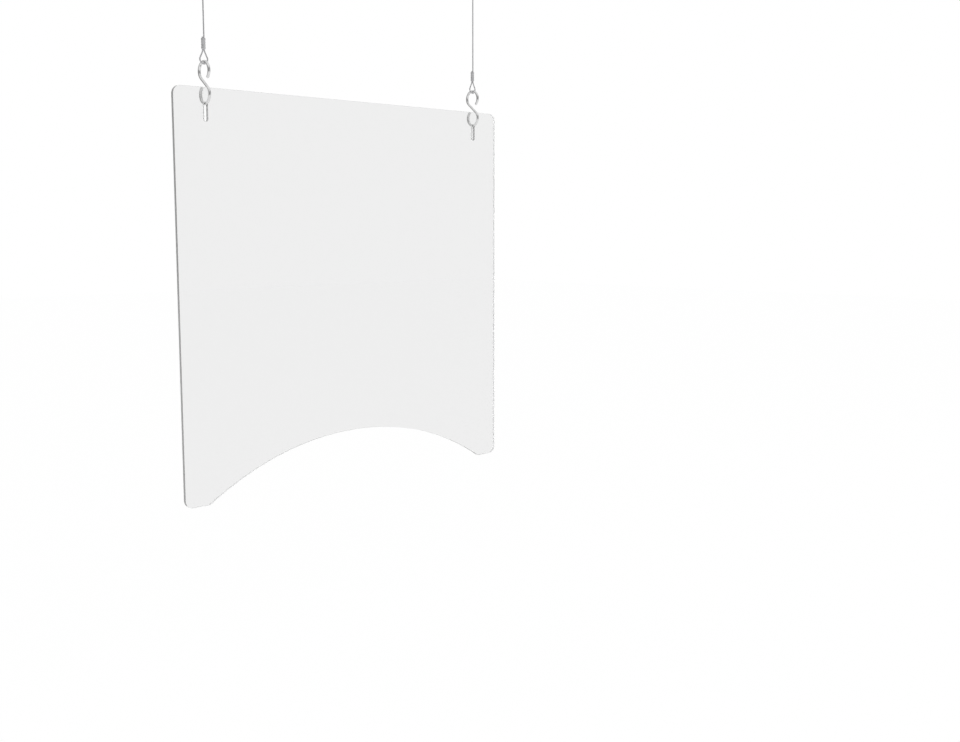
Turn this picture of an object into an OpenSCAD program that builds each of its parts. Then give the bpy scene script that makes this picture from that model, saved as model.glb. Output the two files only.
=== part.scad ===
// Clear hanging protective screen: one sheet on four S-hooks, two wire cables and two ceiling eyes.
// Millimetres. X runs along the sheet, -Y is the side that faces the viewer, +Z is up.
// The origin lies in the ceiling plane, midway between the two ceiling plates.

/* [Sheet] */
// Width of the clear sheet
panel_w = 610; // [560:5:1000]
// Height of the clear sheet
panel_h = 584; // [400:2:900]
// Thickness of the clear sheet
panel_t = 5; // [3:0.5:7]
// Radius of the sheet's outer corners
corner_r = 12; // [4:1:30]
// Distance from a slot's centre to the sheet's side edge
slot_inset = 50; // [30:1:80]
// Length of each slot
slot_len = 26.5; // [20:0.5:40]
// Gap between a hook's wire and each side of its slot
slot_side_gap = 1; // [0.5:0.25:3]
// Width of each flat foot beside the arch
foot_w = 39; // [20:1:100]
// Height of the arch
arch_rise = 78; // [20:1:120]

/* [S-hooks] */
// Diameter of the hooks' wire
hook_wire_d = 4; // [3:0.25:5]
// Bend radius of both hook ends, to the wire's centre
hook_bend_r = 12.5; // [11:0.25:14]
// Distance between the centres of a hook's two bends
hook_pitch = 32; // [30:0.5:38]
// How far each bend runs on past the half turn at the tip
hook_tip_turn = 50; // [20:1:55]

/* [Cables] */
// Diameter of the wire cable
cable_d = 2; // [1:0.1:2.5]
// Distance from the lower loop's end to the upper loop's end
cable_reach = 191; // [140:1:1500]
// Bend radius of a loop round its hook, to the cable's centre
loop_bend_r = 6; // [5:0.25:7]
// Length of a loop from its end to the mouth of its ferrule
loop_len = 19.7; // [18:0.1:30]
// Bend radius of the cable where it spreads out of the ferrule
mouth_bend_r = 10; // [6:0.5:12]
// Length of a crimped ferrule
ferrule_len = 15; // [8:0.5:22]
// Wall of a ferrule outside the two strands
ferrule_wall = 1; // [0.6:0.1:2]
// How far the cable's cut end stands out of its ferrule
tail_out = 1.5; // [0.5:0.5:5]

/* [Ceiling fittings] */
// Diameter of the wire of the ceiling eye
eye_wire_d = 4; // [3:0.25:5]
// Radius of the ceiling eye, to the wire's centre
eye_r = 8; // [7:0.25:11]
// Diameter of the eye's threaded shank
shank_d = 6; // [5:0.5:8]
// Diameter of the eye's collar
collar_d = 11; // [9:0.5:16]
// Thickness of the eye's collar
collar_t = 2; // [1:0.25:4]
// Diameter of a ceiling plate
plate_d = 56; // [50:1:80]
// Thickness of a plate's flange
flange_t = 2.5; // [2.25:0.25:4]
// Wall of a plate's raised middle
dome_wall = 2; // [1:0.25:3]
// Outer diameter of a plate's raised middle
dome_d = 26; // [22:0.5:28]
// Width across the flats of the nut
nut_af = 10; // [8.5:0.5:13]
// Height of the nut
nut_h = 5; // [3:0.25:7]
// Diameter of the washer
washer_d = 12; // [10:0.5:16]
// Thickness of the washer
washer_t = 1.6; // [0.8:0.1:2.5]
// Distance between the two screws of a plate
screw_spacing = 40; // [38:1:42]
// Outer diameter of the ceiling screws' thread
screw_d = 4.5; // [3.5:0.25:5]
// Length of the ceiling screws above the ceiling plane
screw_len = 25; // [15:1:60]
// Diameter of the ceiling screws' countersunk heads
screw_head_d = 8.6; // [7.5:0.1:9]

/* [Clearances] */
// Gap between pieces that hang in each other
rest_gap = 0.3; // [0.1:0.05:0.5]
// Radial gap between the cable and the ferrule's bores
bore_gap = 0.03; // [0.01:0.01:0.1]
// Metal between the two bores of a ferrule
bore_web = 0.14; // [0.05:0.01:0.3]
// Radial gap round the shank in its nut
thread_gap = 0.05; // [0.02:0.01:0.1]
// Radial gap round the shank in its washer and plate
shank_gap = 0.2; // [0.1:0.05:0.5]
// Radial gap round the screws in their holes
screw_gap = 0.15; // [0.1:0.05:0.3]

/* [Hidden] */
$fn = 64;
LEFT = -1;
RIGHT = 1;

// Radii of the wires
hook_r = hook_wire_d / 2;
cable_r = cable_d / 2;
eye_wire_r = eye_wire_d / 2;

// Distance between the two hangings: slots, hooks, cables and ceiling plates
hang_spacing = panel_w - 2 * slot_inset;

// Ceiling fittings, from the ceiling plane down: room over the nut, how far the shank stands
// into it, and how deep the eye's ring sits in its collar
dome_gap = 1;
shank_proud = 0.6;
eye_sink = 1;
dome_h = dome_wall + washer_t + nut_h + dome_gap;
shank_top_z = -dome_gap + shank_proud;
washer_z = -dome_h + dome_wall;
collar_z = -dome_h - collar_t;
eye_z = collar_z + eye_sink - eye_wire_r - eye_r;
eye_seat_z = eye_z - eye_r;

// Upper hook: its top bend hangs over the lowest point of the eye
upper_hook_z = eye_seat_z + eye_wire_r + rest_gap + hook_r - hook_bend_r - hook_pitch / 2;
upper_hook_foot_z = upper_hook_z - hook_pitch / 2 - hook_bend_r;

// Cable: its upper loop hangs over the foot of the upper hook
wire_step = hook_r + rest_gap + cable_r;
cable_top_z = upper_hook_foot_z + wire_step;
cable_foot_z = cable_top_z - cable_reach;

// Lower hook: its top bend sits in the lower loop
lower_hook_top_z = cable_foot_z + wire_step;
lower_hook_z = lower_hook_top_z - hook_bend_r - hook_pitch / 2;
sheet_pivot_z = lower_hook_z - hook_pitch / 2;

// Sheet: the strip above each slot turns freely inside the hook's lower bend
strip_corner_r = hook_bend_r - hook_r - rest_gap;
strip_half = sqrt(pow(strip_corner_r, 2) - pow(panel_t / 2, 2));
panel_top_z = sheet_pivot_z + strip_half;
panel_bottom_z = panel_top_z - panel_h;
slot_top_z = sheet_pivot_z - strip_half;
slot_w = hook_wire_d + 2 * slot_side_gap;
arch_w = panel_w - 2 * foot_w;
arch_r = (pow(arch_w / 2, 2) + pow(arch_rise, 2)) / (2 * arch_rise);

// Loop: the angle at which its two straight runs lean out of the ferrule
strand_x = cable_r + bore_gap + bore_web / 2;
spread_x = strand_x + mouth_bend_r;
spread_z = loop_len - loop_bend_r;
spread_d = norm([spread_x, spread_z]);
lean = atan2(spread_z, spread_x) - acos((loop_bend_r + mouth_bend_r) / spread_d);
run_len = sqrt(pow(spread_d, 2) - pow(loop_bend_r + mouth_bend_r, 2));

// Overlap that keeps a cut from ending flush with a face
cut = 1;

// How far a straight run of wire reaches into a bend, and how much thinner it is
run_sink = 0.2;
run_step = 0.02;

// A bend of round wire in the XY plane, from angle `from` on through `turn` degrees
module wire_bend(bend_r, wire_r, from, turn) {
    rotate([0, 0, from])
        rotate_extrude(angle = turn)
            translate([bend_r, 0])
                circle(r = wire_r);
}

// Turns the XY plane of its children into the YZ plane
module in_yz() {
    rotate([90, 0, 90])
        children();
}

// Turns the XY plane of its children into the XZ plane
module in_xz() {
    rotate([90, 0, 0])
        children();
}

// A straight piece of round wire in the XY plane, from `start` along `angle`.
// It is a hair thinner than the bends and starts and ends inside them, so that the two join cleanly.
module wire_run(start, angle, run, wire_r) {
    translate([start[0], start[1], 0])
        rotate([0, 90, angle])
            translate([0, 0, -run_sink])
                cylinder(r = wire_r - run_step, h = run + 2 * run_sink);
}

// S-hook about its own middle, in the XY plane
module s_hook_flat() {
    slope = asin(2 * hook_bend_r / hook_pitch);
    web = sqrt(pow(hook_pitch, 2) - pow(2 * hook_bend_r, 2));
    web_end = [-web / 2 * sin(slope), -web / 2 * cos(slope)];
    for (half = [0, 180])
        rotate([0, 0, half])
            translate([0, hook_pitch / 2, 0])
                wire_bend(hook_bend_r, hook_r, -slope, 180 + slope + hook_tip_turn);
    wire_run(web_end, 90 - slope, web, hook_r);
}

module s_hook(side, z) {
    translate([side * hang_spacing / 2, 0, z])
        in_yz()
            s_hook_flat();
}

// One loop of the cable with its end at the origin and its ferrule towards +Y, in the XY plane
module loop_flat() {
    translate([0, loop_bend_r, 0])
        wire_bend(loop_bend_r, cable_r, 180 - lean, 180 + 2 * lean);
    for (flip = [0, 1])
        mirror([flip, 0, 0]) {
            wire_run([loop_bend_r * cos(lean), loop_bend_r * (1 + sin(lean))], 90 + lean,
                run_len, cable_r);
            translate([spread_x, loop_len, 0])
                wire_bend(mouth_bend_r, cable_r, 180, lean);
        }
}

// Whole cable with its lower loop's end at the origin, in the XY plane
module cable_flat() {
    tail_len = ferrule_len + tail_out;
    loop_flat();
    translate([0, cable_reach, 0])
        mirror([0, 1, 0])
            loop_flat();
    wire_run([strand_x, loop_len], 90, cable_reach - 2 * loop_len, cable_r);
    wire_run([-strand_x, loop_len], 90, tail_len, cable_r);
    wire_run([-strand_x, cable_reach - loop_len], -90, tail_len, cable_r);
}

module cable(side) {
    color("Silver")
        translate([side * hang_spacing / 2, 0, cable_foot_z])
            in_xz()
                cable_flat();
}

// Oval ferrule with its lower end at height z
module ferrule(side, z) {
    ferrule_r = cable_r + bore_gap + ferrule_wall;
    color("DimGray")
        translate([side * hang_spacing / 2, 0, z])
            difference() {
                union() {
                    for (x = [-strand_x, strand_x])
                        translate([x, 0, 0])
                            cylinder(r = ferrule_r, h = ferrule_len);
                    translate([-strand_x, -ferrule_r, 0])
                        cube([2 * strand_x, 2 * ferrule_r, ferrule_len]);
                }
                for (x = [-strand_x, strand_x])
                    translate([x, 0, -cut])
                        cylinder(r = cable_r + bore_gap, h = ferrule_len + 2 * cut);
            }
}

module lower_hook(side) {
    color("LightSteelBlue")
        s_hook(side, lower_hook_z);
}

module upper_hook(side) {
    color("LightSteelBlue")
        s_hook(side, upper_hook_z);
}

module lower_ferrule(side) {
    ferrule(side, cable_foot_z + loop_len);
}

module upper_ferrule(side) {
    ferrule(side, cable_top_z - loop_len - ferrule_len);
}

// Sheet with round corners, an arch at the foot and a slot for each hook
module panel() {
    color("LightCyan", 0.5)
        difference() {
            union() {
                translate([-panel_w / 2 + corner_r, -panel_t / 2, panel_bottom_z])
                    cube([panel_w - 2 * corner_r, panel_t, panel_h]);
                translate([-panel_w / 2, -panel_t / 2, panel_bottom_z + corner_r])
                    cube([panel_w, panel_t, panel_h - 2 * corner_r]);
                for (x = [-1, 1], z = [panel_bottom_z + corner_r, panel_top_z - corner_r])
                    translate([x * (panel_w / 2 - corner_r), panel_t / 2, z])
                        rotate([90, 0, 0])
                            cylinder(r = corner_r, h = panel_t);
            }
            translate([0, panel_t / 2 + cut, panel_bottom_z + arch_rise - arch_r])
                rotate([90, 0, 0])
                    cylinder(r = arch_r, h = panel_t + 2 * cut, $fn = 360);
            for (side = [LEFT, RIGHT])
                translate([side * hang_spacing / 2, 0, slot_top_z])
                    slot_cut();
        }
}

// Upright slot with round ends; its flat-sided top carries the sheet on the hook's wire
module slot_cut() {
    depth = panel_t + 2 * cut;
    translate([-slot_w / 2, -depth / 2, -slot_len + slot_w / 2])
        cube([slot_w, depth, slot_len - slot_w / 2]);
    translate([0, depth / 2, -slot_len + slot_w / 2])
        rotate([90, 0, 0])
            cylinder(r = slot_w / 2, h = depth);
}

// Ring in the XZ plane under a collar, with a threaded shank above it
module eye_bolt(side) {
    color("Gainsboro")
        translate([side * hang_spacing / 2, 0, 0]) {
            translate([0, 0, eye_z])
                in_xz()
                    rotate_extrude()
                        translate([eye_r, 0])
                            circle(r = eye_wire_r);
            translate([0, 0, collar_z])
                cylinder(d = collar_d, h = collar_t);
            translate([0, 0, collar_z])
                cylinder(d = shank_d, h = shank_top_z - collar_z);
        }
}

// Pressed plate: a flat flange on the ceiling and a raised middle that holds the nut
module ceiling_plate(side) {
    hole_r = shank_d / 2 + shank_gap;
    dome_r = dome_d / 2;
    edge = 0.8;
    color("WhiteSmoke")
        translate([side * hang_spacing / 2, 0, 0])
            difference() {
                rotate_extrude()
                    polygon([[hole_r, -dome_h], [dome_r - dome_wall, -dome_h],
                        [dome_r, -dome_h + dome_wall], [dome_r, -flange_t],
                        [plate_d / 2 - edge, -flange_t], [plate_d / 2, -flange_t + edge],
                        [plate_d / 2, 0], [dome_r - dome_wall, 0],
                        [dome_r - dome_wall, -dome_h + dome_wall], [hole_r, -dome_h + dome_wall]]);
                for (end = [-1, 1])
                    translate([0, end * screw_spacing / 2, 0])
                        screw_hole();
            }
}

// Countersunk hole through the flange
module screw_hole() {
    hole_r = screw_d / 2 + screw_gap;
    mouth_r = screw_head_d / 2 + screw_gap;
    translate([0, 0, -flange_t - cut])
        cylinder(r = hole_r, h = flange_t + 2 * cut);
    translate([0, 0, -flange_t - cut])
        cylinder(r1 = mouth_r + cut, r2 = hole_r, h = mouth_r - hole_r + cut);
}

module eye_washer(side) {
    color("Silver")
        translate([side * hang_spacing / 2, 0, washer_z])
            difference() {
                cylinder(d = washer_d, h = washer_t);
                translate([0, 0, -cut])
                    cylinder(r = shank_d / 2 + shank_gap, h = washer_t + 2 * cut);
            }
}

module eye_nut(side) {
    color("DarkGray")
        translate([side * hang_spacing / 2, 0, washer_z + washer_t])
            difference() {
                cylinder(d = nut_af / cos(30), h = nut_h, $fn = 6);
                translate([0, 0, -cut])
                    cylinder(r = shank_d / 2 + thread_gap, h = nut_h + 2 * cut);
            }
}

// One countersunk screw: head in the flange, plain neck, thread above the ceiling plane
module ceiling_screw() {
    head_r = screw_head_d / 2;
    thread_depth = 0.35;
    neck_r = screw_d / 2 - thread_depth;
    head_h = head_r - neck_r;
    point_h = screw_d;
    point_d = 0.6;
    recess_w = 0.9;
    recess_span = 4.8;
    recess_depth = 1.4;
    difference() {
        union() {
            translate([0, 0, -flange_t])
                cylinder(r1 = head_r, r2 = neck_r, h = head_h);
            translate([0, 0, -flange_t])
                cylinder(r = neck_r, h = flange_t);
            cylinder(d = screw_d, h = screw_len - point_h);
            translate([0, 0, screw_len - point_h])
                cylinder(d1 = screw_d, d2 = point_d, h = point_h);
        }
        for (turn = [0, 90])
            rotate([0, 0, turn])
                translate([-recess_w / 2, -recess_span / 2, -flange_t - cut])
                    cube([recess_w, recess_span, recess_depth + cut]);
    }
}

// The four ceiling screws, two to a plate
module ceiling_screws() {
    color("Gray")
        for (side = [LEFT, RIGHT], end = [-1, 1])
            translate([side * hang_spacing / 2, end * screw_spacing / 2, 0])
                ceiling_screw();
}

panel();
lower_hook(LEFT);  // lower_hook_left
lower_hook(RIGHT);  // lower_hook_right
cable(LEFT);  // cable_left
cable(RIGHT);  // cable_right
lower_ferrule(LEFT);  // lower_ferrule_left
lower_ferrule(RIGHT);  // lower_ferrule_right
upper_ferrule(LEFT);  // upper_ferrule_left
upper_ferrule(RIGHT);  // upper_ferrule_right
upper_hook(LEFT);  // upper_hook_left
upper_hook(RIGHT);  // upper_hook_right
eye_bolt(LEFT);  // eye_bolt_left
eye_bolt(RIGHT);  // eye_bolt_right
ceiling_plate(LEFT);  // ceiling_plate_left
ceiling_plate(RIGHT);  // ceiling_plate_right
eye_washer(LEFT);  // eye_washer_left
eye_washer(RIGHT);  // eye_washer_right
eye_nut(LEFT);  // eye_nut_left
eye_nut(RIGHT);  // eye_nut_right
ceiling_screws();
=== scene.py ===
# %% [markdown]
# # A clear hanging screen, dressed around its CAD model
#
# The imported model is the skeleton: every hook, cable and screw already has its place and size.
# This lesson loads it, sets up the camera, and then replaces or repaints the pieces one by one.
# Everything is in metres, with X along the sheet, -Y towards the viewer and Z = 0 at the ceiling.

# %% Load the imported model
import bisect
import math

import bmesh
import bpy
from mathutils import Matrix, Vector


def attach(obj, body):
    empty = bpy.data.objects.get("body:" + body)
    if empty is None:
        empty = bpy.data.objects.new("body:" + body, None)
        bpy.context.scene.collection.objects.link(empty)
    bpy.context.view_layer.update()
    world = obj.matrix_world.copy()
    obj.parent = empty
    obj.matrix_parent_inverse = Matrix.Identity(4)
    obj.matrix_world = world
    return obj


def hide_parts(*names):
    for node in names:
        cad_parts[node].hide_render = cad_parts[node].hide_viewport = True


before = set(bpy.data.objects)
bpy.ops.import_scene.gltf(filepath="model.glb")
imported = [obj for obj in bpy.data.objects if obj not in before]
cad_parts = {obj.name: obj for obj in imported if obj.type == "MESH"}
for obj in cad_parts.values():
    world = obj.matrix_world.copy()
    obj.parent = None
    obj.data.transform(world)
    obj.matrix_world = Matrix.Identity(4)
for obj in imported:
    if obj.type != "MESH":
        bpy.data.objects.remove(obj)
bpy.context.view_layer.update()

# %% [markdown]
# ## The camera
#
# The screen hangs on the left of the picture and is seen from its front left, a little from below
# the ceiling fittings. The place, the turn and the lens come from fitting the straight edges and
# the corners of the sheet, which is more exact than moving a camera by eye.

# %% Camera
MM = 0.001
EYE_PLACE = (-1.1311, -1.4428, -0.4913)
EYE_TURN = 44.217
EYE_DIP = 6.985
LENS_MM = 43.958
SENSOR_MM = 36.0

camera_data = bpy.data.cameras.new("photo_camera")
camera_data.sensor_width = SENSOR_MM
camera_data.lens = LENS_MM
camera = bpy.data.objects.new("photo_camera", camera_data)
camera.location = EYE_PLACE
camera.rotation_euler = (math.radians(90 - EYE_DIP), 0, -math.radians(EYE_TURN))
bpy.context.scene.collection.objects.link(camera)
bpy.context.scene.camera = camera
print("camera at", EYE_PLACE, "with a lens of", LENS_MM, "mm")

# %% [markdown]
# ## Routes for bent wire
#
# Hooks and cables are round stock that was straight before someone bent it. So each one is made
# straight along Z first, with all its detail, and is then bent onto a flat route. A route is
# walked like a path on a map: so far ahead, while turning by so many degrees.

# %% Walk a route
STEP = 0.1 * MM


def walk(moves, heading, start=(0.0, 0.0)):
    """Marks of (distance, across, up, heading) along moves of (length, degrees to the left)."""
    across, up = start
    turned = math.radians(heading)
    gone = 0.0
    marks = [(gone, across, up, turned)]
    for length, turn in moves:
        count = max(1, round(length / STEP))
        ahead = length / count
        bend = math.radians(turn) / count
        for _ in range(count):
            middle = turned + bend / 2
            across += ahead * math.cos(middle)
            up += ahead * math.sin(middle)
            turned += bend
            gone += ahead
            marks.append((gone, across, up, turned))
    return marks


quarter_end = walk([(10 * MM * math.pi / 2, 90)], 0)[-1]
print("a quarter turn of 10 mm radius ends at",
      [round(place / MM, 2) for place in quarter_end[1:3]], "mm")

# %% [markdown]
# A route is only a list of marks. To bend a rod, each of its points looks up the mark at its own
# height, and is set out from there across the route. Nothing is stretched along the middle of the
# rod, which is how a real wire bends, and why a wire's length can be read off its route.

# %% Bend a straight rod onto a route


def bend_onto(rod, marks, origin, across_axis):
    """Moves a rod that stands on Z = 0 onto the route, in the plane of across_axis and Z."""
    across_axis = Vector(across_axis)
    up_axis = Vector((0, 0, 1))
    side_axis = across_axis.cross(up_axis)
    distances = [mark[0] for mark in marks]
    for vert in rod.verts:
        at = min(max(bisect.bisect_right(distances, vert.co.z), 1), len(marks) - 1)
        before, after = marks[at - 1], marks[at]
        share = (vert.co.z - before[0]) / (after[0] - before[0])
        across, up, turned = (before[k] + share * (after[k] - before[k]) for k in (1, 2, 3))
        outward = up_axis * math.cos(turned) - across_axis * math.sin(turned)
        vert.co = (Vector(origin) + across_axis * across + up_axis * up
                   + outward * vert.co.x + side_axis * vert.co.y)


print("routes are walked in steps of", round(STEP / MM, 2), "mm")

# %% [markdown]
# ## From a mesh to a piece
#
# Every new shape ends the same way: its normals are recalculated, it becomes an object at the
# origin, it gets its finish, and it rides on the body that carries it. Shading is smooth, but an
# edge sharper than the smooth angle stays crisp, as a turned or cut edge does. Bent and crimped
# wire has no crisp edge but its cut ends, so it takes a wide angle, and flat stock takes a narrow
# one.

# %% Turn a bmesh into a piece
WIRE_SMOOTH = 60
FITTING_SMOOTH = 35
SHEET_SMOOTH = 20


def into_piece(mesh_data, name, body, materials, smooth_angle):
    """Turns a bmesh into a named piece that rides on a body, with its finish."""
    bmesh.ops.recalc_face_normals(mesh_data, faces=mesh_data.faces[:])
    mesh = bpy.data.meshes.new(name)
    mesh_data.to_mesh(mesh)
    mesh_data.free()
    for polygon in mesh.polygons:
        polygon.use_smooth = True
    mesh.set_sharp_from_angle(angle=math.radians(smooth_angle))
    for material in materials:
        mesh.materials.append(material)
    piece = bpy.data.objects.new(name, mesh)
    bpy.context.scene.collection.objects.link(piece)
    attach(piece, body)
    return piece


SIDES = {"left": -1, "right": 1}
HANG_X = 255 * MM
print("hangings at X =", [side * HANG_X for side in SIDES.values()])

# %% [markdown]
# ## Helpers for finishes
#
# Each finish is a Principled shader with a little life in it: bare metal is never one even
# colour, because plating, drawing dies and fingers all leave their marks. A noise drives the
# colour and the roughness by a few hundredths, and a bump gives the grain. Patterns read Object
# coordinates.

# %% An empty finish


def new_finish(name):
    """An empty material: its node tree, its shader and a socket of object coordinates."""
    material = bpy.data.materials.new(name)
    material.use_nodes = True
    tree = material.node_tree
    tree.nodes.clear()
    shader = tree.nodes.new("ShaderNodeBsdfPrincipled")
    output = tree.nodes.new("ShaderNodeOutputMaterial")
    tree.links.new(shader.outputs["BSDF"], output.inputs["Surface"])
    place = tree.nodes.new("ShaderNodeTexCoord")
    return material, tree, shader, place.outputs["Object"]


print("a finish starts from its shader and its place on the object")

# %% [markdown]
# A noise has no size of its own, so it is given one in metres: that of a blotch, or of one grain.
# Spreading it sets how far a value may stray, and a two-tone ramp does the same for a colour.
# Nearly all of a noise lies between 0.3 and 0.7, so that is the range that gets spread.

# %% Noise with a real size
NOISE_DETAIL = 3.0
NOISE_LOW = 0.3
NOISE_HIGH = 0.7
TONE_LOW = 0.35
TONE_HIGH = 0.65


def noise(tree, place, size, stretch=(1, 1, 1)):
    """A noise whose grains are about `size` metres across, stretched along the given axes."""
    mapping = tree.nodes.new("ShaderNodeMapping")
    mapping.inputs["Scale"].default_value = tuple(1 / (size * k) for k in stretch)
    texture = tree.nodes.new("ShaderNodeTexNoise")
    texture.inputs["Scale"].default_value = 1.0
    texture.inputs["Detail"].default_value = NOISE_DETAIL
    tree.links.new(place, mapping.inputs["Vector"])
    tree.links.new(mapping.outputs["Vector"], texture.inputs["Vector"])
    return texture.outputs["Fac"]


def spread(tree, value, low, high):
    """Maps a noise onto low to high."""
    node = tree.nodes.new("ShaderNodeMapRange")
    node.inputs["From Min"].default_value = NOISE_LOW
    node.inputs["From Max"].default_value = NOISE_HIGH
    node.inputs["To Min"].default_value = low
    node.inputs["To Max"].default_value = high
    tree.links.new(value, node.inputs["Value"])
    return node.outputs["Result"]


def two_tone(tree, value, dark, light):
    """Mixes two colours by a noise."""
    ramp = tree.nodes.new("ShaderNodeValToRGB")
    ramp.color_ramp.elements[0].position = TONE_LOW
    ramp.color_ramp.elements[0].color = (*dark, 1)
    ramp.color_ramp.elements[1].position = TONE_HIGH
    ramp.color_ramp.elements[1].color = (*light, 1)
    tree.links.new(value, ramp.inputs["Fac"])
    return ramp.outputs["Color"]


print("noises, spreads and two tones are ready")

# %% [markdown]
# Relief comes last. Its depth is given in metres too, because a grain that is too deep for its
# size turns bright metal into sandpaper: a few hundredths of the grain's size is plenty.

# %% Relief, and metal as a whole


def bump(tree, shader, height, depth):
    """Raises the surface by `depth` metres where height is 1."""
    node = tree.nodes.new("ShaderNodeBump")
    node.inputs["Distance"].default_value = depth
    tree.links.new(height, node.inputs["Height"])
    tree.links.new(node.outputs["Normal"], shader.inputs["Normal"])


def metal(name, dark, light, rough, blotch, grain, grain_depth, stretch=(1, 1, 1)):
    """A bare or plated metal: blotches in colour and gloss, and a fine grain in relief."""
    material, tree, shader, place = new_finish(name)
    shader.inputs["Metallic"].default_value = 1.0
    cloud = noise(tree, place, blotch)
    tree.links.new(two_tone(tree, cloud, dark, light), shader.inputs["Base Color"])
    tree.links.new(spread(tree, cloud, *rough), shader.inputs["Roughness"])
    bump(tree, shader, noise(tree, place, grain, stretch), grain_depth)
    return material


print("metals have blotches in colour and gloss, and a grain in relief")

# %% [markdown]
# ## The wire cables
#
# Each cable is a wire rope 2 mm thick: six strands of seven wires laid round a core strand. It
# runs from its cut end through the lower ferrule, round the hook, up through the ferrule again,
# and does the same at the top. A texture on a tube would look smooth in profile, so the strands
# are real: six small rosettes and a core are spun upwards with a twist, which makes the whole
# rope at once.

# %% Cable route, the same as in the solid
CABLE_D = 2 * MM
LOOP_R = 6 * MM
LOOP_LEN = 19.7 * MM
MOUTH_R = 10 * MM
STRAND_X = 1.1 * MM
FERRULE_LEN = 15 * MM
TAIL_OUT = 1.5 * MM
CABLE_REACH = 191 * MM
CABLE_FOOT = -269 * MM

mouth_across = STRAND_X + MOUTH_R
mouth_up = LOOP_LEN - LOOP_R
mouth_away = math.hypot(mouth_across, mouth_up)
both_bends = LOOP_R + MOUTH_R
LEAN = math.degrees(math.atan2(mouth_up, mouth_across) - math.acos(both_bends / mouth_away))
RUN = math.sqrt(mouth_away ** 2 - both_bends ** 2)
MOUTH = (MOUTH_R * math.radians(LEAN), -LEAN)
ROUND = (LOOP_R * math.radians(180 + 2 * LEAN), 180 + 2 * LEAN)
LOOP = [MOUTH, (RUN, 0), ROUND, (RUN, 0), MOUTH]
TAIL = (FERRULE_LEN + TAIL_OUT, 0)
STANDING = (CABLE_REACH - 2 * LOOP_LEN, 0)
cable_marks = walk([TAIL, *LOOP, STANDING, *LOOP, TAIL], -90, (-STRAND_X, LOOP_LEN + TAIL[0]))
CABLE_LENGTH = cable_marks[-1][0]
print("each cable is", round(CABLE_LENGTH, 4), "m long")
print("its loops lean by", round(LEAN, 2), "degrees")

# %% [markdown]
# The rope is galvanised steel, a dull grey that is darker in the gaps between its strands. The
# gaps are real here, so one pale zinc with a slight blotch is enough, and the grain runs along
# the wires.

# %% Galvanised strand finish
wire_rope_finish = metal(
    "galvanised_strand", dark=(0.56, 0.56, 0.57), light=(0.70, 0.70, 0.71), rough=(0.3, 0.45),
    blotch=1.5 * MM, grain=0.08 * MM, grain_depth=0.01 * MM, stretch=(1, 1, 6))
print("finish:", wire_rope_finish.name)

# %% [markdown]
# A strand of six wires round one has a wavy outline. A circle of twelve corners with every other
# corner drawn in gives that rosette, and turning the whole bundle while it rises lays the rope.
# Three strands lie side by side across the rope, so each is a third of it thick.

# %% One straight rope
STRANDS = 6
OUTER_WIRES = 6
STRAND_R = CABLE_D / 6
WIRE_VALLEY = 0.82
LAY = 13 * MM
ROPE_STEPS = 400


def straight_rope():
    """Rosettes round a core, spun up Z with a full twist every lay."""
    rope = bmesh.new()
    for k in range(STRANDS):
        turned = Matrix.Rotation(math.radians(360 / STRANDS * k), 4, "Z")
        centre = turned @ Vector((2 * STRAND_R, 0, 0))
        ring = bmesh.ops.create_circle(rope, cap_ends=True, segments=2 * OUTER_WIRES,
                                       radius=STRAND_R,
                                       matrix=Matrix.Translation(centre))["verts"]
        bmesh.ops.scale(rope, vec=(WIRE_VALLEY,) * 3, verts=ring[::2],
                        space=Matrix.Translation(-centre))
    bmesh.ops.create_circle(rope, cap_ends=True, segments=OUTER_WIRES, radius=STRAND_R)
    bmesh.ops.spin(rope, geom=rope.faces[:], cent=(0, 0, 0), axis=(0, 0, 1), steps=ROPE_STEPS,
                   angle=2 * math.pi * CABLE_LENGTH / LAY, dvec=(0, 0, CABLE_LENGTH / ROPE_STEPS))
    return rope


print("a full twist every", round(LAY / MM), "mm, strands", round(2 * STRAND_R / MM, 2), "mm thick")

# %% [markdown]
# The straight rope is as long as the route, so bending it onto the route makes the finished
# cable, loops and all. It takes the place of the plain round cable of the solids.

# %% Make both cables
for word, side in SIDES.items():
    rope = straight_rope()
    origin = (side * HANG_X, 0, CABLE_FOOT)
    bend_onto(rope, cable_marks, origin, (1, 0, 0))
    into_piece(rope, f"wire_rope_{word}", f"cable_{word}",
                              [wire_rope_finish], WIRE_SMOOTH)
    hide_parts(f"cable_{word}")

# %% [markdown]
# ## The crimped ferrules
#
# A ferrule starts as an oval aluminium tube. The crimping tool squeezes it round both strands,
# which rounds its ends and leaves shallow bands across it. An oval face is a circle whose halves
# are moved apart, and the sleeve is then drawn up from it by extruding and scaling, one section
# at a time.

# %% Crimped aluminium finish
ferrule_finish = metal(
    "crimped_aluminium", dark=(0.54, 0.54, 0.55), light=(0.64, 0.64, 0.65), rough=(0.35, 0.5),
    blotch=2 * MM, grain=0.12 * MM, grain_depth=0.015 * MM, stretch=(1, 1, 4))
print("finish:", ferrule_finish.name)

# %% [markdown]
# The sections are read up the sleeve: how high, in millimetres, and how wide, as a share of the
# whole width. The rims are rounded off in four small steps, and each crimp is a band that is a
# little narrower. Written as a list, the bands can be repeated by a loop.

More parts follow.
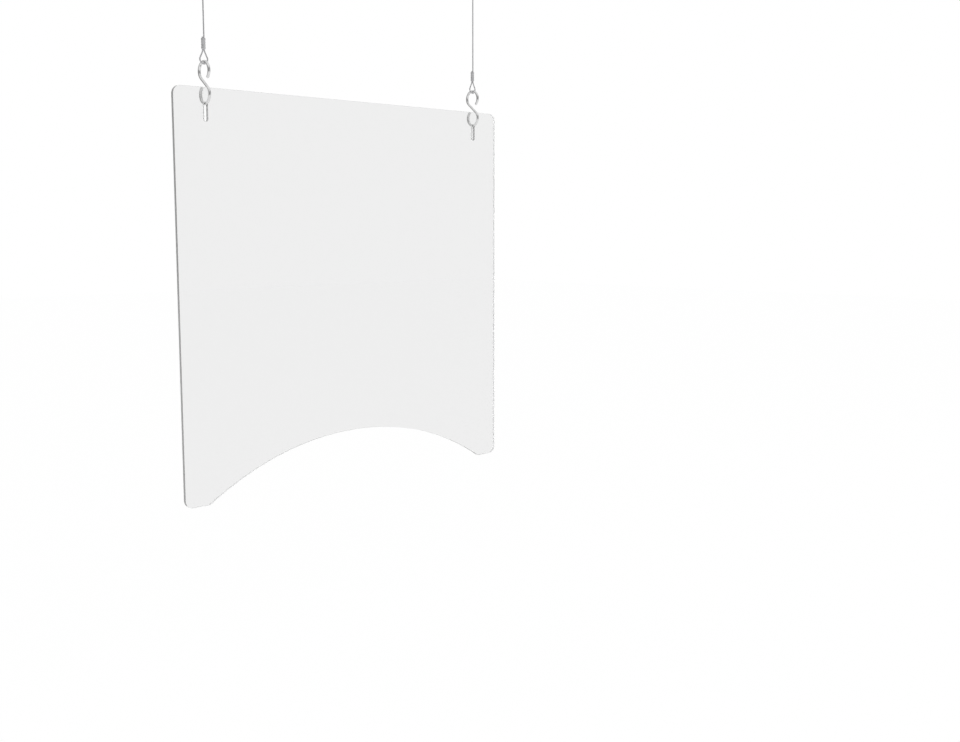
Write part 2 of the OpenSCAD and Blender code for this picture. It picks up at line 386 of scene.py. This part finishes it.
# %% One crimped sleeve
FERRULE_R = 2.03 * MM
FERRULE_SIDES = 32
CRIMPS = 3
CRIMP_PITCH = 3.4
CRIMP_WIDTH = 0.91
CRIMP_BAND = [(3.1, 1.0), (3.5, CRIMP_WIDTH), (4.7, CRIMP_WIDTH), (5.1, 1.0)]
LOWER_RIM = [(0.0, 0.80), (0.25, 0.91), (0.7, 0.98), (1.3, 1.0)]
UPPER_RIM = [(13.7, 1.0), (14.3, 0.98), (14.75, 0.91), (15.0, 0.80)]
BANDS = [(up + k * CRIMP_PITCH, width) for k in range(CRIMPS) for up, width in CRIMP_BAND]
FERRULE_SECTIONS = [*LOWER_RIM, *BANDS, *UPPER_RIM]


def ferrule():
    """An oval sleeve on Z = 0, drawn up through its sections."""
    sleeve = bmesh.new()
    half_side = Matrix.Rotation(math.radians(180 / FERRULE_SIDES), 4, "Z")
    ring = bmesh.ops.create_circle(sleeve, cap_ends=True, segments=FERRULE_SIDES,
                                   radius=FERRULE_R, matrix=half_side)["verts"]
    for half in (-1, 1):
        bmesh.ops.translate(sleeve, vec=(half * STRAND_X, 0, 0),
                            verts=[vert for vert in ring if vert.co.x * half > 0])
    wide = 1.0
    high = 0.0
    end = sleeve.faces[:]
    for section, (up, width) in enumerate(FERRULE_SECTIONS):
        if section:
            drawn = bmesh.ops.extrude_face_region(sleeve, geom=end)["geom"]
            end = [made for made in drawn if isinstance(made, bmesh.types.BMFace)]
        moved = list({vert for face in end for vert in face.verts})
        bmesh.ops.scale(sleeve, vec=(width / wide, width / wide, 1), verts=moved)
        bmesh.ops.translate(sleeve, vec=(0, 0, up * MM - high), verts=moved)
        wide = width
        high = up * MM
    return sleeve


print("an oval sleeve", FERRULE_SECTIONS[-1][0], "mm long, in", len(FERRULE_SECTIONS), "sections")

# %% [markdown]
# Each cable has a ferrule next to either loop. They ride on the cable's body, as it carries them.

# %% Make the four ferrules
UPPER_FERRULE = CABLE_FOOT + CABLE_REACH - LOOP_LEN - FERRULE_LEN
LOWER_FERRULE = CABLE_FOOT + LOOP_LEN
ferrules = {word: [] for word in SIDES}
for word, side in SIDES.items():
    for level, foot in (("lower", LOWER_FERRULE), ("upper", UPPER_FERRULE)):
        sleeve = ferrule()
        bmesh.ops.translate(sleeve, vec=(side * HANG_X, 0, foot), verts=sleeve.verts[:])
        piece = into_piece(sleeve, f"crimp_{level}_{word}", f"cable_{word}",
                           [ferrule_finish], WIRE_SMOOTH)
        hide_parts(f"{level}_ferrule_{word}")
        ferrules[word].append(piece)
print("ferrules:", sum(len(found) for found in ferrules.values()))

# %% [markdown]
# ## What the cables are
#
# A cable is soft goods: the load holds it taut, and both ends go back into the object.
# Here only a path is listed for each cable: every fifth mark of its route, set beside its hanging.

PATH_STRIDE = 5
for word, side in SIDES.items():
    path = [(side * HANG_X + across, 0, CABLE_FOOT + up)
            for _, across, up, _ in cable_marks[::PATH_STRIDE]]

# %% [markdown]
# ## The S-hooks
#
# The hooks are 4 mm wire, bent cold and bright nickel-plated. Bright wire is all reflection, so
# its form has to be smooth: a rod with rounded rims is spun up and bent through both bends in one
# go, which leaves no seam where a bend meets the straight part.

# %% Bright wire finish
hook_finish = metal(
    "bright_nickel", dark=(0.66, 0.66, 0.66), light=(0.74, 0.74, 0.74), rough=(0.08, 0.16),
    blotch=3 * MM, grain=0.25 * MM, grain_depth=0.0006 * MM, stretch=(1, 1, 5))
print("finish:", hook_finish.name)

# %% [markdown]
# An S is two equal bends with a straight run between them. The run's slope follows from the bend
# and from how far apart the middles of the two bends are, so the hook is right at any size. Each
# bend goes on past its half circle, to a tip that is turned in by fifty degrees.

# %% The route of a hook
HOOK_R = 2 * MM
HOOK_BEND_R = 12.5 * MM
HOOK_PITCH = 32 * MM
HOOK_TIP_TURN = 50
slope = math.degrees(math.asin(2 * HOOK_BEND_R / HOOK_PITCH))
web = math.sqrt(HOOK_PITCH ** 2 - (2 * HOOK_BEND_R) ** 2)
turn = 180 + slope + HOOK_TIP_TURN
bend = HOOK_BEND_R * math.radians(turn)
hook_marks = walk([(bend, -turn), (web, 0), (bend, turn)], 90 - slope + turn)
middle = hook_marks[len(hook_marks) // 2]
hook_length = hook_marks[-1][0]
print("each hook is", round(hook_length / MM, 1), "mm of wire")

# %% [markdown]
# The rod's cut ends are rounded by a bevel on their rims. All four hooks are alike, and each one
# is set by the middle of its run: the upper two below the eyes, and the lower two in the slots.

# %% Make the four hooks
HOOK_SIDES = 24
HOOK_STEPS = 130
RIM_SHARE = 0.3
RIM_SEGMENTS = 3
HOOK_MIDDLES = {"upper": -52.8 * MM, "lower": -294.2 * MM}


def straight_wire(radius, length, sides, steps):
    """A rod on Z = 0 with rounded rims."""
    rod = bmesh.new()
    bmesh.ops.create_circle(rod, cap_ends=True, segments=sides, radius=radius)
    bmesh.ops.spin(rod, geom=rod.faces[:], cent=(0, 0, 0), axis=(0, 0, 1), steps=steps, angle=0,
                   dvec=(0, 0, length / steps))
    caps = [face for face in rod.faces if len(face.verts) == sides]
    rims = list({edge for face in caps for edge in face.edges})
    bmesh.ops.bevel(rod, geom=rims, offset=radius * RIM_SHARE, offset_type="OFFSET",
                    segments=RIM_SEGMENTS, profile=0.5, affect="EDGES", material=-1)
    return rod


for level, height in HOOK_MIDDLES.items():
    for word, side in SIDES.items():
        rod = straight_wire(HOOK_R, hook_length, HOOK_SIDES, HOOK_STEPS)
        bend_onto(rod, hook_marks, (side * HANG_X, -middle[1], height - middle[2]), (0, 1, 0))
        piece = into_piece(rod, f"s_hook_{level}_{word}", f"{level}_hook_{word}",
                           [hook_finish], WIRE_SMOOTH)
        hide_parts(f"{level}_hook_{word}")
        print(piece.name, len(piece.data.polygons), "faces")

# %% [markdown]
# ## The clear sheet
#
# The sheet is cast acrylic, cut by a router and polished all round. Its solid has knife-sharp
# edges, which catch no light, so a copy of it is merged, cleaned to its flat faces and given a
# small eased edge. The cut walls get their own finish, because a polished edge still shows slight
# ripples. The walls of the slots are hazier still: a router cuts them, and no polishing wheel
# reaches in there.

# %% Clear acrylic finishes
ACRYLIC_IOR = 1.49
HAZE_SIZE = 40 * MM


def acrylic(name, tint, clearness, haze, ripple, ripple_depth):
    """Clear cast acrylic with a slight tint and a faint ripple."""
    material, tree, shader, place = new_finish(name)
    shader.inputs["Base Color"].default_value = (*tint, 1)
    shader.inputs["Transmission Weight"].default_value = clearness
    shader.inputs["IOR"].default_value = ACRYLIC_IOR
    cloud = noise(tree, place, HAZE_SIZE)
    tree.links.new(spread(tree, cloud, *haze), shader.inputs["Roughness"])
    bump(tree, shader, noise(tree, place, ripple), ripple_depth)
    return material


sheet_face_finish = acrylic("clear_sheet_face", tint=(0.855, 0.855, 0.855), clearness=1.0,
                            haze=(0.0, 0.003), ripple=60 * MM, ripple_depth=0.005 * MM)
sheet_wall_finish = acrylic("clear_sheet_wall", tint=(0.97, 0.97, 0.97), clearness=0.70,
                            haze=(0.14, 0.22), ripple=8 * MM, ripple_depth=0.02 * MM)
sheet_slot_finish = acrylic("clear_sheet_slot", tint=(0.97, 0.97, 0.97), clearness=0.55,
                            haze=(0.30, 0.40), ripple=3 * MM, ripple_depth=0.02 * MM)
print("finishes:", sheet_face_finish.name, sheet_wall_finish.name, sheet_slot_finish.name)

# %% [markdown]
# A CAD mesh is loose triangles. A copy of it is welded and its flat faces are made whole, so that
# only real edges are left to round. A bevel of a few tenths of a millimetre is enough to catch
# light, and the sheet's is finer still.

# %% Copies of solids with eased edges
WELD_GAP = 0.001 * MM
FLAT_WITHIN = 0.4


def merged_copy(node):
    """A welded copy of a CAD node, with its flat faces made whole."""
    copy = bmesh.new()
    copy.from_mesh(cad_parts[node].data)
    bmesh.ops.remove_doubles(copy, verts=copy.verts[:], dist=WELD_GAP)
    bmesh.ops.dissolve_limit(copy, angle_limit=math.radians(FLAT_WITHIN), verts=copy.verts[:],
                             edges=copy.edges[:])
    return copy


def ease_edges(copy, offset, over, segments):
    """Rounds every edge that is sharper than `over` degrees."""
    sharp = [edge for edge in copy.edges
             if len(edge.link_faces) == 2 and edge.calc_face_angle() > math.radians(over)]
    bmesh.ops.bevel(copy, geom=sharp, offset=offset, offset_type="OFFSET", segments=segments,
                    profile=0.5, affect="EDGES", material=-1, clamp_overlap=True)


print("copies are welded within", round(WELD_GAP / MM, 3), "mm")

# %% [markdown]
# A material belongs to a face by its index. The two large faces are told by their normals, which
# point straight ahead or back, and the walls of the slots by their place under the hangings.

# %% Sort the faces of the sheet
SHEET_EASE = 0.06 * MM
SHEET_OVER = 50
SHEET_SEGMENTS = 2
FACING = 0.99
SLOT_REACH = 3.2 * MM
SLOT_FLOOR = -345 * MM
SHEET_PARTS = {"face": 0, "wall": 1, "slot": 2}


def part_of_sheet(face):
    """Which part of the sheet a face belongs to."""
    centre = face.calc_center_median()
    if abs(face.normal.y) > FACING:
        return "face"
    if abs(abs(centre.x) - HANG_X) < SLOT_REACH and centre.z > SLOT_FLOOR:
        return "slot"
    return "wall"


sheet = merged_copy("panel")
print("panel copy:", len(sheet.faces), "faces before easing")
ease_edges(sheet, SHEET_EASE, SHEET_OVER, SHEET_SEGMENTS)
for face in sheet.faces:
    face.material_index = SHEET_PARTS[part_of_sheet(face)]
for part, index in SHEET_PARTS.items():
    print(part, sum(face.material_index == index for face in sheet.faces), "faces")

# %% Make the sheet
sheet_piece = into_piece(sheet, "clear_sheet", "panel",
                         [sheet_face_finish, sheet_wall_finish, sheet_slot_finish],
                         SHEET_SMOOTH)
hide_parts("panel")
print("sheet:", len(sheet_piece.data.polygons), "faces")

# %% [markdown]
# Smooth shading leans the normals of the two large faces a little wherever they meet an eased
# edge, and a flat mirror shows that as a grey wedge that starts at a slot. So the faces are
# shaded flat.

# %% Shade the two faces flat
for polygon in sheet_piece.data.polygons:
    polygon.use_smooth = polygon.material_index != SHEET_PARTS["face"]
print("flat faces:", sum(not polygon.use_smooth for polygon in sheet_piece.data.polygons))

# %% [markdown]
# ## The ceiling fittings
#
# Above the picture, each cable hangs from a hook and a zinc-plated eye. The eye's shank goes
# through a powder-coated plate, where a washer and a nut hold it, and two screws hold the plate.
# Zinc is bright with a grey blotch, and powder coat has a faint orange peel, which is a bump and
# no colour.

# %% Zinc, powder coat and screw finishes
zinc_finish = metal(
    "bright_zinc", dark=(0.55, 0.56, 0.58), light=(0.70, 0.70, 0.71), rough=(0.22, 0.34),
    blotch=4 * MM, grain=0.2 * MM, grain_depth=0.006 * MM)
screw_finish = metal(
    "zinc_screw", dark=(0.50, 0.51, 0.53), light=(0.66, 0.66, 0.67), rough=(0.26, 0.4),
    blotch=3 * MM, grain=0.2 * MM, grain_depth=0.006 * MM)

COAT_BLOTCH = 12 * MM
COAT_PEEL = 1.0 * MM
PEEL_DEPTH = 0.008 * MM
plate_finish, tree, shader, place = new_finish("white_powder_coat")
coat_cloud = noise(tree, place, COAT_BLOTCH)
coat_colour = two_tone(tree, coat_cloud, dark=(0.78, 0.78, 0.77), light=(0.82, 0.82, 0.81))
tree.links.new(coat_colour, shader.inputs["Base Color"])
tree.links.new(spread(tree, coat_cloud, low=0.42, high=0.52), shader.inputs["Roughness"])
bump(tree, shader, noise(tree, place, COAT_PEEL), PEEL_DEPTH)
print("finishes:", zinc_finish.name, screw_finish.name, plate_finish.name)

# %% [markdown]
# ## Plates, eyes, washers and nuts
#
# Pressed, cast and turned parts all have slightly rounded edges, and those thin highlights are
# what makes them look real. The CAD solids already have the right forms, so merged copies of them
# get a bevel: broad on the plate's pressed shoulders, and narrow on the washer, the nut and the
# eye.

# %% Make the plates, eyes, washers and nuts
FITTING_SEGMENTS = 3
FITTINGS = {
    "ceiling_plate": ("pressed_plate", "plate", plate_finish, 0.45 * MM, 30),
    "eye_bolt": ("forged_eye", "zinc", zinc_finish, 0.25 * MM, 50),
    "eye_washer": ("flat_washer", "zinc", zinc_finish, 0.20 * MM, 50),
    "eye_nut": ("hexagon_nut", "zinc", zinc_finish, 0.35 * MM, 50),
}
for node, (name, slot, finish, round_off, over) in FITTINGS.items():
    for word in SIDES:
        copy = merged_copy(f"{node}_{word}")
        ease_edges(copy, round_off, over, FITTING_SEGMENTS)
        piece = into_piece(copy, f"{name}_{word}", "ceiling_fittings", [finish],
                           FITTING_SMOOTH)
        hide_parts(f"{node}_{word}")
    print(name, len(piece.data.polygons), "faces")

# %% [markdown]
# ## The ceiling screws
#
# A wood screw has a countersunk head with a cross recess, a short plain neck, and a sharp thread
# that thins out along its point. The heads are kept from the solids, cut off at the ceiling. The
# core is extruded on from that cut, and the thread is a small wedge spun upwards round it, one
# turn a pitch.

# %% The thread of a screw
SCREW_R = 2.25 * MM
CORE_R = 1.6 * MM
NECK_R = 1.9 * MM
THREAD_PITCH = 1.8 * MM
POINT_START = 20.5 * MM
SCREW_END = 24.95 * MM
THREAD_TURNS = 13
THREAD_STEPS = 22
THREAD_FOOT = 0.7 * MM
ROOT_R = CORE_R - 0.1 * MM
CREST_R = SCREW_R - 0.02 * MM
ROOT_HALF = 0.5 * MM
CREST_HALF = 0.04 * MM
POINT_TAPER = 0.9
POINT_SHARE = 0.12


def spin_thread(screws, centre):
    """A wedge spun up round one screw, and drawn in towards the point."""
    wedge = ((ROOT_R, -ROOT_HALF), (ROOT_R, ROOT_HALF),
             (CREST_R, CREST_HALF), (CREST_R, -CREST_HALF))
    before = set(screws.verts)
    corners = [screws.verts.new((centre.x + out, centre.y, THREAD_FOOT + up)) for out, up in wedge]
    start = screws.faces.new(corners)
    bmesh.ops.spin(screws, geom=[start], cent=centre, axis=(0, 0, 1),
                   steps=THREAD_TURNS * THREAD_STEPS, angle=2 * math.pi * THREAD_TURNS,
                   dvec=(0, 0, THREAD_PITCH / THREAD_STEPS))
    for vert in set(screws.verts) - before:
        gone = max(0.0, (vert.co.z - POINT_START) / (SCREW_END - POINT_START))
        thin = max(POINT_SHARE, 1 - POINT_TAPER * gone)
        vert.co.x = centre.x + (vert.co.x - centre.x) * thin
        vert.co.y = centre.y + (vert.co.y - centre.y) * thin


print("a thread of", THREAD_TURNS, "turns,", round(THREAD_TURNS * THREAD_PITCH / MM, 1), "mm long")

# %% [markdown]
# Cutting a mesh with a plane leaves it open, so the cuts are filled before the edges are eased.
# The filled faces are then found again by their height, because a bevel makes its faces anew.

# %% Keep the heads
CUT_Z = -0.05 * MM
HEAD_EASE = 0.08 * MM
HEAD_OVER = 60
HEAD_SEGMENTS = 2
screws = merged_copy("ceiling_screws")
everything = screws.verts[:] + screws.edges[:] + screws.faces[:]
bmesh.ops.bisect_plane(screws, geom=everything, plane_co=(0, 0, CUT_Z), plane_no=(0, 0, 1),
                       clear_outer=True)
bmesh.ops.holes_fill(screws, edges=[edge for edge in screws.edges if edge.is_boundary])
ease_edges(screws, HEAD_EASE, HEAD_OVER, HEAD_SEGMENTS)
ends = [face for face in screws.faces
        if face.normal.z > FACING and abs(face.calc_center_median().z - CUT_Z) < WELD_GAP]
print("cut screws:", len(ends))

# %% [markdown]
# From each cut the core goes on in three sections: a short taper from the neck, the long plain
# core, and the point. Each section is one extrusion that is scaled about the screw's own axis.

# %% Draw out the cores
NECK_END = 0.3 * MM
TIP_SHARE = 0.14
CORE_SECTIONS = [(NECK_END, CORE_R / NECK_R), (POINT_START, CORE_R / NECK_R),
                 (SCREW_END, TIP_SHARE)]
for end in ends:
    centre = end.calc_center_median()
    width = 1.0
    face = end
    for up, scale in CORE_SECTIONS:
        drawn = bmesh.ops.extrude_face_region(screws, geom=[face])["geom"]
        face = next(made for made in drawn if isinstance(made, bmesh.types.BMFace))
        bmesh.ops.scale(screws, vec=(scale / width, scale / width, 1), verts=face.verts[:],
                        space=Matrix.Translation(-centre))
        rise = up - face.calc_center_median().z
        bmesh.ops.translate(screws, vec=(0, 0, rise), verts=face.verts[:])
        width = scale
print("cores end at", round(SCREW_END / MM, 2), "mm above the ceiling")

# %% [markdown]
# The threads go on last: their roots sink a little into the cores, so they need no join. The four
# screws stay one piece, as they are one node of the model.

# %% Thread the screws
SCREW_Y = 20 * MM
for side in SIDES.values():
    for end in (-1, 1):
        spin_thread(screws, Vector((side * HANG_X, end * SCREW_Y, 0)))
piece = into_piece(screws, "countersunk_screws", "ceiling_fittings", [screw_finish],
                   FITTING_SMOOTH)
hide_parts("ceiling_screws")
print("screws:", len(piece.data.polygons), "faces")

# %% [markdown]
# ## The white studio
#
# The picture is a plain white studio, and the object is clear or bright, so most of what is seen
# on it is the room. The world could be one white colour. But light from all round is stronger
# than the soft light of a studio, so the world is white to the camera, to glass and to metal, and
# only eight tenths of that to matt surfaces. Light Path tells the rays apart.

# %% The world and its strength
MATT_LIGHT = 0.8

world = bpy.data.worlds.new("white_studio")
bpy.context.scene.world = world
world.use_nodes = True
tree = world.node_tree
tree.nodes.clear()
background = tree.nodes.new("ShaderNodeBackground")
world_output = tree.nodes.new("ShaderNodeOutputWorld")
tree.links.new(background.outputs["Background"], world_output.inputs["Surface"])


def any_of(tree, values):
    """The largest of several sockets, so that one flag that is set is enough."""
    largest = values[0]
    for value in values[1:]:
        node = tree.nodes.new("ShaderNodeMath")
        node.operation = "MAXIMUM"
        tree.links.new(largest, node.inputs[0])
        tree.links.new(value, node.inputs[1])
        largest = node.outputs["Value"]
    return largest


def seen_share(tree, low, high):
    """High for rays from the camera, glass and metal, low for all others."""
    path = tree.nodes.new("ShaderNodeLightPath")
    level = tree.nodes.new("ShaderNodeMapRange")
    level.inputs["To Min"].default_value = low
    level.inputs["To Max"].default_value = high
    flags = ("Is Camera Ray", "Is Glossy Ray", "Is Transmission Ray")
    tree.links.new(any_of(tree, [path.outputs[flag] for flag in flags]), level.inputs["Value"])
    return level.outputs["Result"]


tree.links.new(seen_share(tree, MATT_LIGHT, 1.0), background.inputs["Strength"])
print("world strength:", MATT_LIGHT, "for matt surfaces, 1 for all that is seen")

# %% [markdown]
# ## Grey cards for bright metal
#
# Bright wire in an all-white room has no outline. A photographer stands grey cards beside it,
# leaves the backdrop, the ceiling and one reflector white, and the wire gets its dark rims. The
# cards are made here in the world: only a ray that bright surfaces mirror sees them, by its
# direction in the room. The reflector on the viewer's side puts the light streak on the wire. How
# large each white part is comes from two cosines: between them, white fades to grey.

# %% White and grey directions of the room
BACKDROP_HEADING = 44
BACKDROP_FADE = (0.84, 0.92)
REFLECTOR_HEADING = 143
REFLECTOR_FADE = (0.93, 0.97)
CEILING_FADE = (0.30, 0.75)
ROOM_SHADE = 0.62
UP = Vector((0, 0, 1))
sky = tree.nodes.new("ShaderNodeTexCoord")


def heading(degrees):
    """A level direction, in degrees from +Y towards +X."""
    return Vector((math.sin(math.radians(degrees)), math.cos(math.radians(degrees)), 0))


def clear_towards(axis, fade):
    """1 where a ray runs along the axis, and 0 where it strays, softly between two cosines."""
    low, high = fade
    along = tree.nodes.new("ShaderNodeVectorMath")
    along.operation = "DOT_PRODUCT"
    along.inputs[1].default_value = axis
    tree.links.new(sky.outputs["Generated"], along.inputs[0])
    soft = tree.nodes.new("ShaderNodeMapRange")
    soft.interpolation_type = "SMOOTHSTEP"
    soft.inputs["From Min"].default_value = low
    soft.inputs["From Max"].default_value = high
    tree.links.new(along.outputs["Value"], soft.inputs["Value"])
    return soft.outputs["Result"]


white_ways = [
    clear_towards(heading(BACKDROP_HEADING), BACKDROP_FADE),
    clear_towards(heading(REFLECTOR_HEADING), REFLECTOR_FADE),
    clear_towards(UP, CEILING_FADE),
]
print("white towards the backdrop, the reflector and the ceiling")

# %% [markdown]
# The sheet is a mirror too, a faint and perfectly sharp one, and grey cards would end in it in a
# hard line along the horizon. Sharp reflections are singular rays, and bent wire has none, so the
# sheet gets a room of its own: white at the horizon, where it meets the floor, and softly greyer
# higher up.

# %% The room that the sheet mirrors
SHEET_SHADE = 0.6
SHEET_FADE = (0.05, 0.45)

path = tree.nodes.new("ShaderNodeLightPath")
sheet_room = tree.nodes.new("ShaderNodeMath")
sheet_room.operation = "MULTIPLY_ADD"
sheet_room.inputs[1].default_value = -SHEET_SHADE
sheet_room.inputs[2].default_value = 1.0
tree.links.new(clear_towards(UP, SHEET_FADE), sheet_room.inputs[0])
sheet_sees = tree.nodes.new("ShaderNodeMath")
sheet_sees.operation = "MULTIPLY"
tree.links.new(path.outputs["Is Singular Ray"], sheet_sees.inputs[0])
tree.links.new(sheet_room.outputs["Value"], sheet_sees.inputs[1])
white_ways.append(sheet_sees.outputs["Value"])
print("the sheet's room keeps", round(1 - SHEET_SHADE, 2), "of the white higher up")

# %% [markdown]
# A ray sees white when it looks one of the white ways, when it has come through glass, or when it
# wasn't mirrored at all. The largest of these flags decides, and all that is left sees a grey
# card.

# %% Shade the rest of the room for mirrored rays
not_mirrored = tree.nodes.new("ShaderNodeMath")
not_mirrored.operation = "SUBTRACT"
not_mirrored.inputs[0].default_value = 1.0
tree.links.new(path.outputs["Is Glossy Ray"], not_mirrored.inputs[1])
white_ways += [path.outputs["Is Transmission Ray"], not_mirrored.outputs["Value"]]
shade = tree.nodes.new("ShaderNodeMapRange")
shade.inputs["To Min"].default_value = 1.0 - ROOM_SHADE
shade.inputs["To Max"].default_value = 1.0
tree.links.new(any_of(tree, white_ways), shade.inputs["Value"])
tree.links.new(shade.outputs["Result"], background.inputs["Color"])
print("grey cards keep", round(1 - ROOM_SHADE, 2), "of the white")

# %% [markdown]
# ## The floor
#
# The floor is pale and plain, well below the sheet. The eye sees it almost as white as the world,
# with a trace of its own matt paint left, which keeps the object's soft shadow. A fully glowing
# floor would have none, and a fully matt one would draw a grey horizon through the clear sheet.

# %% Make the floor
FLOOR_Z = -1.12
FLOOR_HALF = 9

floor_mesh = bmesh.new()
bmesh.ops.create_grid(floor_mesh, x_segments=1, y_segments=1, size=FLOOR_HALF,
                      matrix=Matrix.Translation((0, 0, FLOOR_Z)))
floor_data = bpy.data.meshes.new("studio_floor")
floor_mesh.to_mesh(floor_data)
floor_mesh.free()
floor = bpy.data.objects.new("studio_floor", floor_data)
bpy.context.scene.collection.objects.link(floor)
print("floor at", FLOOR_Z, "m")

# %% [markdown]
# The mix of paint and glow is set by the same flags as the world: matt surfaces get only the
# paint's light, while the eye, glass and metal see nearly all glow.

# %% Paint the floor
FLOOR_GLOW = 0.98
FLOOR_PAINT = (0.95, 0.95, 0.95)

floor_finish = bpy.data.materials.new("white_floor")
floor_finish.use_nodes = True
tree = floor_finish.node_tree
tree.nodes.clear()
matt = tree.nodes.new("ShaderNodeBsdfDiffuse")
matt.inputs["Color"].default_value = (*FLOOR_PAINT, 1)
glow = tree.nodes.new("ShaderNodeEmission")
mix = tree.nodes.new("ShaderNodeMixShader")
tree.links.new(seen_share(tree, 0.0, FLOOR_GLOW), mix.inputs["Fac"])
tree.links.new(matt.outputs["BSDF"], mix.inputs[1])
tree.links.new(glow.outputs["Emission"], mix.inputs[2])
floor_output = tree.nodes.new("ShaderNodeOutputMaterial")
tree.links.new(mix.outputs["Shader"], floor_output.inputs["Surface"])
floor.data.materials.append(floor_finish)
print("the floor is", FLOOR_GLOW, "glow to the eye")

# %% [markdown]
# ## The lamps
#
# Two large soft lamps give the matt plates and the zinc a light side, and stay weak, because the
# world already lights everything. They are hidden from mirrored and refracted rays: a square lamp
# that shows in a clear sheet would be taken for a mark on it.

# %% Two soft lamps
LAMPS = {
    "key_lamp": ((-1.8, -2.2, 1.2), 1.6, 30),
    "fill_lamp": ((2.4, -1.6, 0.6), 2.0, 14),
}
SCREEN_MIDDLE = Vector((0, 0, -0.5))

for name, (place, size, power) in LAMPS.items():
    data = bpy.data.lights.new(name, "AREA")
    data.size = size
    data.energy = power
    lamp = bpy.data.objects.new(name, data)
    lamp.location = place
    lamp.rotation_euler = (SCREEN_MIDDLE - Vector(place)).to_track_quat("-Z", "Y").to_euler()
    lamp.visible_glossy = False
    lamp.visible_transmission = False
    bpy.context.scene.collection.objects.link(lamp)
    print(name, power, "W")

bpy.context.scene.view_settings.view_transform = "Standard"
